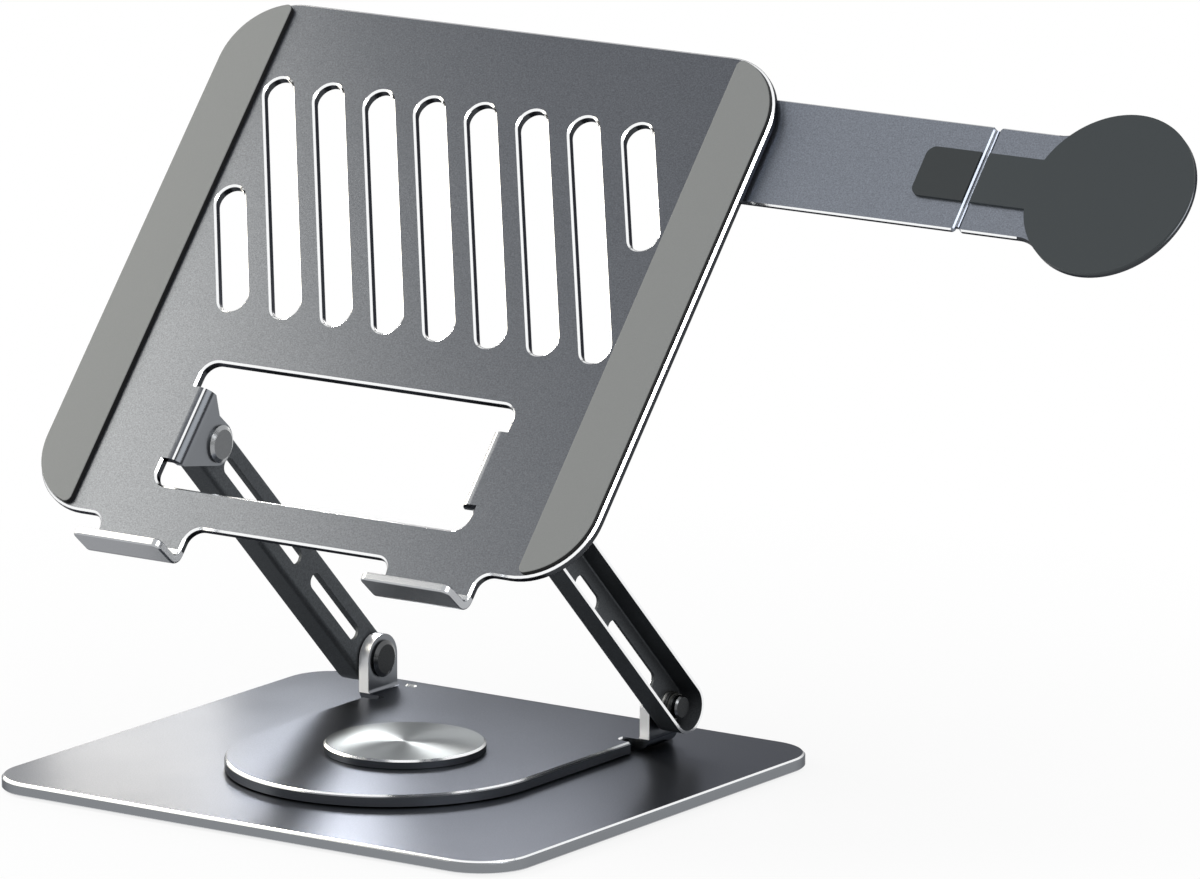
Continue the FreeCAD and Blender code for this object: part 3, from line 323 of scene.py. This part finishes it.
def moulded(name, body, roughness, grain_size, depth, side_tone_and_painted_shade=None):
    """Moulded rubber or plastic: matte, with the fine texture of its mould. A side colour, where given, paints
    shade on the faces across the tray's face, the sides of the pads.
    """
    material, tree, shader = new_material(name)
    shader.inputs["Specular IOR Level"].default_value = 0.25
    speck = grain(tree, grain_size, detail=3.0)
    tone = add_node(tree, "ShaderNodeMix", {0: speck, 6: scaled(body, 0.93), 7: tuple(body)},
                    data_type="RGBA")
    rough = add_node(tree, "ShaderNodeMapRange", {"Value": speck, "To Min": roughness - 0.05,
                                                  "To Max": roughness + 0.05})
    # Painted shade: faces across the tray's face, the pads' sides, drawn in the side colour.
    if side_tone_and_painted_shade is not None:
        side = zone(tree, TRAY_OUT, (-0.5, 0.5))
        tone, rough = cover(tree, tone, rough, side, tuple(side_tone_and_painted_shade), roughness)
    finish(tree, shader, tone, rough)
    bump = add_node(tree, "ShaderNodeBump", {"Height": speck, "Distance": depth})
    tree.links.new(bump.outputs["Normal"], shader.inputs["Normal"])
    return material


def spun_metal(details, finishes, top):
    """Aluminium faced on a lathe: fine rings that draw each highlight out towards the centre.

    The side is turned smooth, and the rim between side and face is polished.
    """
    material, tree, shader = new_material("spun_aluminium", metallic=1.0)
    place = add_node(tree, "ShaderNodeTexCoord")
    flat = add_node(tree, "ShaderNodeVectorMath", {0: place.outputs["Object"], 1: (1, 1, 0)},
                    operation="MULTIPLY")
    reach = add_node(tree, "ShaderNodeVectorMath", {0: flat.outputs["Vector"]}, operation="LENGTH")
    phase = add_node(tree, "ShaderNodeMath", {0: reach.outputs["Value"],
                                              1: 2 * math.pi / details.turning_pitch},
                     operation="MULTIPLY")
    wave = add_node(tree, "ShaderNodeMath", {0: phase}, operation="SINE")
    rings = add_node(tree, "ShaderNodeMapRange", {"Value": wave, "From Min": -1.0, "From Max": 1.0,
                                                  "To Min": 0.80, "To Max": 0.90})
    tone = add_node(tree, "ShaderNodeMix", {0: 1.0, 6: tuple(finishes.spun), 7: rings},
                    data_type="RGBA", blend_type="MULTIPLY")
    rough = add_node(tree, "ShaderNodeMapRange", {"Value": rings, "To Min": 0.26, "To Max": 0.30})
    tone, rough = cover(tree, tone, rough, zone(tree, SWIVEL, (-0.35, 0.35)), tuple(finishes.spun),
                        finishes.side_roughness)
    rim = zone(tree, SWIVEL, (0.4, 0.96), (top - details.cap_rim, top))
    tone, rough = cover(tree, tone, rough, rim, tuple(finishes.polished), finishes.polish_roughness)
    finish(tree, shader, tone, rough)
    tangent = add_node(tree, "ShaderNodeTangent", direction_type="RADIAL", axis="Z")
    tree.links.new(tangent.outputs["Tangent"], shader.inputs["Tangent"])
    shader.inputs["Anisotropic"].default_value = 0.8
    shader.inputs["Specular Tint"].default_value = (0.25, 0.25, 0.25, 1)
    return material


def dress(material, *nodes):
    """Give CAD nodes a material."""
    for name in nodes:
        mesh = frame["nodes"][name].data
        mesh.materials.clear()
        mesh.materials.append(material)


# Turned surfaces

def lathe(name, profile, base, axis, steps, body, material):
    """A closed turned piece.

    Its surface is base + axis * height + radius * (side * cos t + up * sin t) for each
    (radius, height) of the profile and each angle t. The profile starts and ends on the axis.
    """
    axis = Vector(axis).normalized()
    side = axis.orthogonal().normalized()
    up = axis.cross(side)
    radius, height = np.array(profile).T
    angle = np.linspace(0, 2 * np.pi, steps, endpoint=False)
    ring = np.outer(np.cos(angle), side) + np.outer(np.sin(angle), up)
    middle = np.array(base) + np.outer(height, axis)
    points = middle[1:-1, None, :] + radius[1:-1, None, None] * ring[None, :, :]
    rows = len(profile) - 2
    vertices = np.vstack([middle[:1], points.reshape(-1, 3), middle[-1:]])
    index = 1 + np.arange(rows * steps).reshape(rows, steps)
    after = np.roll(index, -1, axis=1)
    quads = np.stack([index[:-1], after[:-1], after[1:], index[1:]], axis=-1).reshape(-1, 4)
    last = len(vertices) - 1
    first_fan = np.stack([np.zeros(steps, int), after[0], index[0]], axis=-1)
    last_fan = np.stack([index[-1], after[-1], np.full(steps, last)], axis=-1)
    mesh = bpy.data.meshes.new(name)
    mesh.from_pydata(vertices.tolist(), [], quads.tolist() + first_fan.tolist() + last_fan.tolist())
    mesh.materials.append(material)
    piece = bpy.data.objects.new(name, mesh)
    bpy.context.scene.collection.objects.link(piece)
    finish_mesh(mesh)
    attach(piece, body)
    return piece


def finish_mesh(mesh):
    """Outward normals, and smooth faces that stay crisp at edges over 30 degrees."""
    shape = bmesh.new()
    shape.from_mesh(mesh)
    bmesh.ops.recalc_face_normals(shape, faces=shape.faces)
    shape.to_mesh(mesh)
    shape.free()
    mesh.shade_smooth()
    mesh.set_sharp_from_angle(angle=math.radians(30))


# Operators

class STAND_OT_base(Operator):
    """Finish the base plate and the turntable."""
    bl_idname = "stand.base"
    bl_label = "Base and turntable"

    def execute(self, context):
        finishes, details = context.scene.stand_finishes, context.scene.stand_details
        top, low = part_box("base_plate")[1][2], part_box("base_plate")[0][2]
        material, tree, shader, tone, rough = sheet_metal(
            "anodised_base", finishes.anodised, finishes.base_roughness, SWIVEL, top, top - low,
            details.plate_cut, finishes.plate_side)
        finish(tree, shader, tone, rough)
        dress(material, "base_plate")
        top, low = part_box("swivel_cap")[0][2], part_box("turntable_plate")[0][2]
        material, tree, shader, tone, rough = sheet_metal(
            "anodised_turntable", finishes.anodised, finishes.base_roughness, SWIVEL, top, top - low,
            details.plate_cut, finishes.plate_side, kept=(Vector((0, 1, 0)), -9, EAR_BEND))
        # Painted light: the ears take the lighter bent grey.
        ear = zone(tree, SWIVEL, levels=(top + HAIR, top + BEYOND))
        tone, rough = cover(tree, tone, rough, ear, tuple(finishes.bent), finishes.base_roughness)
        # The ears' front edges take the near white of the cut chamfers: bare cut metal, and a painted highlight
        # along the edge and round its bend.
        front = zone(tree, Vector((0, -0.94, 0.34)), (0.55, 1.1))
        tone, rough = cover(tree, tone, rough, both(tree, front, ear), tuple(finishes.polished), 0.5)
        finish(tree, shader, tone, rough)
        dress(material, "turntable_plate")
        return {"FINISHED"}


class STAND_OT_tray(Operator):
    """Finish the tray with its tabs and hooks."""
    bl_idname = "stand.tray"
    bl_label = "Tray"

    def execute(self, context):
        finishes, details = context.scene.stand_finishes, context.scene.stand_details
        # The tray's milled sides take the dark painted reflection.
        material, tree, shader, tone, rough = sheet_metal(
            "anodised_tray", finishes.anodised, finishes.blast_roughness, TRAY_OUT, TRAY_FACE,
            TRAY_SHEET, details.tray_cut, finishes.sheet_side_painted_reflection)
        # Painted light: the tabs take the lighter bent grey.
        tab = zone(tree, TRAY_OUT, levels=(TRAY_FACE - BEYOND, TRAY_FACE - TRAY_SHEET - HAIR))
        tone, rough = cover(tree, tone, rough, tab, tuple(finishes.bent), finishes.blast_roughness)
        lower_edge = Vector(MOUNTS["laptop_rest"]["pos_m"]).dot(TRAY_UP) - FRONT_TO_MIDDLE
        hook = zone(tree, TRAY_UP, levels=(lower_edge - BEYOND, lower_edge - 10 * MM))
        tone, rough = cover(tree, tone, rough, hook, tuple(finishes.hook), finishes.side_roughness)
        finish(tree, shader, tone, rough)
        dress(material, "tray")
        return {"FINISHED"}


class STAND_OT_arm(Operator):
    """Finish the phone arm and its disc plate."""
    bl_idname = "stand.arm"
    bl_label = "Phone arm"

    def execute(self, context):
        finishes, details = context.scene.stand_finishes, context.scene.stand_details
        # The arm's milled sides take the dark painted reflection.
        material, tree, shader, tone, rough = sheet_metal(
            "anodised_arm", finishes.arm, finishes.blast_roughness, TRAY_OUT,
            TRAY_FACE - ARM_DEPTH, ARM_SHEET, details.arm_cut, finishes.sheet_side_painted_reflection,
            (ACROSS, -9, FOLD.x + NECK_END))
        knuckles = zone(tree, ACROSS, levels=(FOLD.x - KNUCKLE, FOLD.x + KNUCKLE))
        tone, rough = cover(tree, tone, rough, knuckles, tuple(finishes.arm), finishes.blast_roughness)
        finish(tree, shader, tone, rough)
        dress(material, "arm_bar", "disc_plate")
        return {"FINISHED"}


class STAND_OT_legs(Operator):
    """Finish the two legs."""
    bl_idname = "stand.legs"
    bl_label = "Legs"

    def execute(self, context):
        finishes = context.scene.stand_finishes
        for hand, side in (("left", -1), ("right", 1)):
            material, tree, shader, tone, rough = blasted(f"anodised_leg_{hand}", finishes.leg,
                                                          finishes.leg_roughness)
            low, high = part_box(f"leg_{hand}")
            outer = max(low[0] * side, high[0] * side)
            rim = zone(tree, ACROSS * side, (0.5, 1.1), (outer - 0.4 * MM, outer + 0.4 * MM))
            tone, rough = cover(tree, tone, rough, rim, tuple(finishes.polished),
                                finishes.polish_roughness)
            finish(tree, shader, tone, rough)
            dress(material, f"leg_{hand}")
        return {"FINISHED"}


class STAND_OT_rubber(Operator):
    """Finish the pads, facings and feet."""
    bl_idname = "stand.rubber"
    bl_label = "Rubber parts"

    def execute(self, context):
        finishes = context.scene.stand_finishes
        grain_size = context.scene.stand_details.silicone_grain
        # The pads' side faces take painted shade.
        pads = moulded("moulded_silicone_grey", finishes.pad, 0.75, grain_size, 0.01 * MM,
                       finishes.pad_side_painted_shade)
        dress(pads, "tray_pad_left", "tray_pad_right")
        dress(moulded("moulded_rubber_slate", finishes.facing, 0.6, grain_size, 0.01 * MM), "disc_pad")
        # Painted shade: the bar's pad is the same slate facing as the disc's, drawn 0.7 times as bright.
        dress(moulded("moulded_rubber_slate_bar_painted_shade", scaled(finishes.facing, 0.7), 0.6, grain_size,
                      0.01 * MM), "arm_pad")
        black = moulded("moulded_rubber_black", finishes.foot, 0.7, grain_size, 0.02 * MM)
        dress(black, "foot_front_left", "foot_front_right", "foot_rear_left", "foot_rear_right",
              "foot_center")
        return {"FINISHED"}


class STAND_OT_works(Operator):
    """Finish the hinge, swivel and guide parts."""
    bl_idname = "stand.works"
    bl_label = "Hinge and guide parts"

    def execute(self, context):
        finishes = context.scene.stand_finishes
        hands = ("left", "right")
        dress(plated("nickel_pin_upper", finishes.pin_upper, 0.32, finishes.pin_bevel),
              *(f"upper_pin_{hand}" for hand in hands))
        dress(plated("black_nickel_pin", finishes.pin_lower, 0.30, scaled(finishes.pin_bevel, 0.3)),
              *(f"lower_pin_{hand}" for hand in hands))
        screws = [f"guide_screw_{row}_{end}" for row in ("upper", "lower") for end in ("inner", "outer")]
        dress(plated("black_nickel_steel", finishes.pin_lower, 0.30),
              "swivel_bolt", "swivel_nut", "fold_pin", "guide_bracket", *screws)
        steel = plated("oiled_spring_steel", finishes.spring, 0.35)
        fibre = moulded("friction_fibre", finishes.fibre, 0.75, 0.3 * MM, 0.02 * MM)
        dress(fibre, "swivel_washer")
        for place in ("lower", "upper"):
            for hand in hands:
                dress(steel, f"{place}_spring_{hand}", f"{place}_collar_{hand}")
                dress(fibre, f"{place}_washer_{hand}")
        dress(moulded("black_acetal", finishes.acetal, 0.4, 0.5 * MM, 0.005 * MM),
              "guide_rail_upper", "guide_rail_lower")
        dress(moulded("natural_acetal", finishes.glide, 0.35, 0.5 * MM, 0.005 * MM), "glide_ring")
        dress(plated("nickel_plate", finishes.nickel, 0.2), "magnet_ring")
        return {"FINISHED"}


class STAND_OT_cap(Operator):
    """Build the spun cap over the swivel."""
    bl_idname = "stand.cap"
    bl_label = "Swivel cap"

    def execute(self, context):
        finishes, details = context.scene.stand_finishes, context.scene.stand_details
        low, high = (Vector(corner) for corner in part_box("swivel_cap"))
        radius, height = (high.x - low.x) / 2, high.z - low.z
        face = radius - details.cap_rim
        profile = [(0, CAP_RECESS_HEIGHT), (CAP_RECESS, CAP_RECESS_HEIGHT), (CAP_RECESS, 0),
                   (radius - 0.2 * MM, 0),
                   (radius, 0.2 * MM), (radius, height - details.cap_rim), (face, height)]
        profile += [(reach, height - details.cap_dish * (1 - reach / face))
                    for reach in np.linspace(face - 0.3 * MM, 0.2 * MM, 12)]
        profile += [(0, height - details.cap_dish)]
        material = spun_metal(details, finishes, high.z)
        cap = lathe("spun_cap", profile, (0, 0, low.z), SWIVEL, details.steps, "turntable",
                    material)
        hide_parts("swivel_cap")
        return {"FINISHED"}


class STAND_OT_studio(Operator):
    """Set up the camera, the floor and the lamps."""
    bl_idname = "stand.studio"
    bl_label = "Studio"

    def execute(self, context):
        studio = context.scene.stand_studio
        add_camera(context.scene, studio)
        add_floor()
        add_world(context.scene, studio.ambient)
        key = add_lamp("key_lamp", (-0.95, -0.62, 0.95), (0, 0, 0.15), (0.7, 0.7), studio.key_power)
        key.visible_glossy = False
        middle = (0, 0, 0.06)
        warm, pale = (1.0, 0.94, 0.80), (1.0, 0.975, 0.92)
        boxes = [add_lamp("side_box", (-0.438, -0.004, 0.306), middle, (0.82, 0.48),
                          studio.side_power, warm),
                 add_lamp("low_strip", (-0.312, 0.24, 0.100), middle, (0.080, 0.050), studio.low_power,
                          warm),
                 add_lamp("rear_box", (-0.222, 0.24, 0.185), middle, (0.055, 0.070), studio.rear_power,
                          pale),
                 add_lamp("rear_strip", (-0.114, 0.25, 0.16), middle, (0.071, 0.046),
                          studio.strip_power, pale),
                 add_lamp("high_box", (0.62, -0.16, 0.62), (-0.06, 0, 0.13), (0.5, 0.5),
                          studio.high_power)]
        for box in boxes:
            box.visible_diffuse = False
        context.scene.view_settings.view_transform = "Standard"
        return {"FINISHED"}


def add_camera(scene, studio):
    """The camera, aimed from its azimuth and elevation."""
    data = bpy.data.cameras.new("camera")
    data.lens = studio.lens
    data.sensor_width = 36.0
    data.clip_end = 50.0
    camera = bpy.data.objects.new("camera", data)
    flat = math.cos(studio.elevation)
    outward = Vector((math.sin(studio.azimuth) * flat, -math.cos(studio.azimuth) * flat,
                      math.sin(studio.elevation)))
    camera.location = Vector(studio.target) + outward * studio.distance
    camera.rotation_euler = (math.pi / 2 - studio.elevation, 0, studio.azimuth)
    scene.collection.objects.link(camera)
    scene.camera = camera


def add_floor():
    """A pale floor that fades to the white of the background away from the object."""
    size = 6.0
    mesh = bpy.data.meshes.new("floor")
    mesh.from_pydata([(-size, -size, 0), (size, -size, 0), (size, size, 0), (-size, size, 0)], [],
                     [(0, 1, 2, 3)])
    floor = bpy.data.objects.new("floor", mesh)
    bpy.context.scene.collection.objects.link(floor)
    material, tree, shader = new_material("floor_paper")
    shader.inputs["Base Color"].default_value = linear(0xF4F4F4)
    shader.inputs["Roughness"].default_value = 0.9
    shader.inputs["Specular IOR Level"].default_value = 0.0
    place = add_node(tree, "ShaderNodeTexCoord")
    reach = add_node(tree, "ShaderNodeVectorMath", {0: place.outputs["Object"]}, operation="LENGTH")
    fade = add_node(tree, "ShaderNodeMapRange",
                    {"Value": reach.outputs["Value"], "From Min": 0.12, "From Max": 0.5,
                     "To Min": 0.85, "To Max": 1.0})
    glow = add_node(tree, "ShaderNodeEmission", {"Color": (1, 1, 1, 1), "Strength": 1.0})
    amount = add_node(tree, "ShaderNodeMath", {0: background_rays(tree), 1: fade}, operation="MULTIPLY")
    mix = add_node(tree, "ShaderNodeMixShader", {0: amount, 1: shader, 2: glow})
    output = next(node for node in tree.nodes if node.type == "OUTPUT_MATERIAL")
    tree.links.new(mix.outputs["Shader"], output.inputs["Surface"])
    mesh.materials.append(material)


def background_rays(tree):
    """1 for the rays that see the background: from the camera, off gloss and through glass."""
    path = add_node(tree, "ShaderNodeLightPath")
    gloss = add_node(tree, "ShaderNodeMath", {0: path.outputs["Is Glossy Ray"],
                                              1: path.outputs["Is Transmission Ray"]},
                     operation="MAXIMUM")
    return add_node(tree, "ShaderNodeMath", {0: path.outputs["Is Camera Ray"], 1: gloss},
                    operation="MAXIMUM")


def add_world(scene, ambient):
    """White to the camera and to reflections, and an even soft light for everything else."""
    world = bpy.data.worlds.new("studio_world")
    scene.world = world
    world.use_nodes = True
    tree = world.node_tree
    tree.nodes.clear()
    light = add_node(tree, "ShaderNodeBackground", {"Color": (1, 1, 1, 1), "Strength": ambient})
    white = add_node(tree, "ShaderNodeBackground", {"Color": (1, 1, 1, 1), "Strength": 1.0})
    mix = add_node(tree, "ShaderNodeMixShader", {0: background_rays(tree), 1: light, 2: white})
    add_node(tree, "ShaderNodeOutputWorld", {"Surface": mix})


def add_lamp(name, place, aim, size, power, tint=(1.0, 1.0, 1.0)):
    """A soft rectangular lamp that points at a place."""
    data = bpy.data.lights.new(name, "AREA")
    data.shape = "RECTANGLE"
    data.size, data.size_y = size
    data.energy = power
    data.color = tint
    lamp = bpy.data.objects.new(name, data)
    lamp.location = place
    lamp.rotation_euler = (Vector(aim) - Vector(place)).to_track_quat("-Z", "Y").to_euler()
    lamp.visible_camera = False
    bpy.context.scene.collection.objects.link(lamp)
    return lamp


class STAND_PT_sidebar(Panel):
    """Buttons and settings of the stand."""
    bl_label = "Laptop Stand"
    bl_idname = "STAND_PT_sidebar"
    bl_space_type = "VIEW_3D"
    bl_region_type = "UI"
    bl_category = "Laptop Stand"

    def draw(self, context):
        for operator in OPERATORS:
            self.layout.operator(operator.bl_idname)
        for group in (context.scene.stand_finishes, context.scene.stand_details,
                      context.scene.stand_studio):
            box = self.layout.box()
            for name in group.__annotations__:
                box.prop(group, name)


OPERATORS = (STAND_OT_base, STAND_OT_tray, STAND_OT_arm, STAND_OT_legs, STAND_OT_rubber,
             STAND_OT_works, STAND_OT_cap, STAND_OT_studio)
GROUPS = (StandFinishes, StandDetails, StandStudio)


def register():
    """Register the classes and attach the settings to the scene."""
    for cls in (*GROUPS, *OPERATORS, STAND_PT_sidebar):
        bpy.utils.register_class(cls)
    bpy.types.Scene.stand_finishes = PointerProperty(type=StandFinishes)
    bpy.types.Scene.stand_details = PointerProperty(type=StandDetails)
    bpy.types.Scene.stand_studio = PointerProperty(type=StandStudio)


def unregister():
    """Take the settings and the classes away again."""
    del bpy.types.Scene.stand_studio
    del bpy.types.Scene.stand_details
    del bpy.types.Scene.stand_finishes
    for cls in reversed((*GROUPS, *OPERATORS, STAND_PT_sidebar)):
        bpy.utils.unregister_class(cls)


def main():
    """Dress the stand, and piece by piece."""
    register()
    bpy.ops.stand.base()
    bpy.ops.stand.tray()
    bpy.ops.stand.arm()
    bpy.ops.stand.legs()
    bpy.ops.stand.rubber()
    bpy.ops.stand.works()
    bpy.ops.stand.cap()
    bpy.ops.stand.studio()


if __name__ == "__main__":
    main()
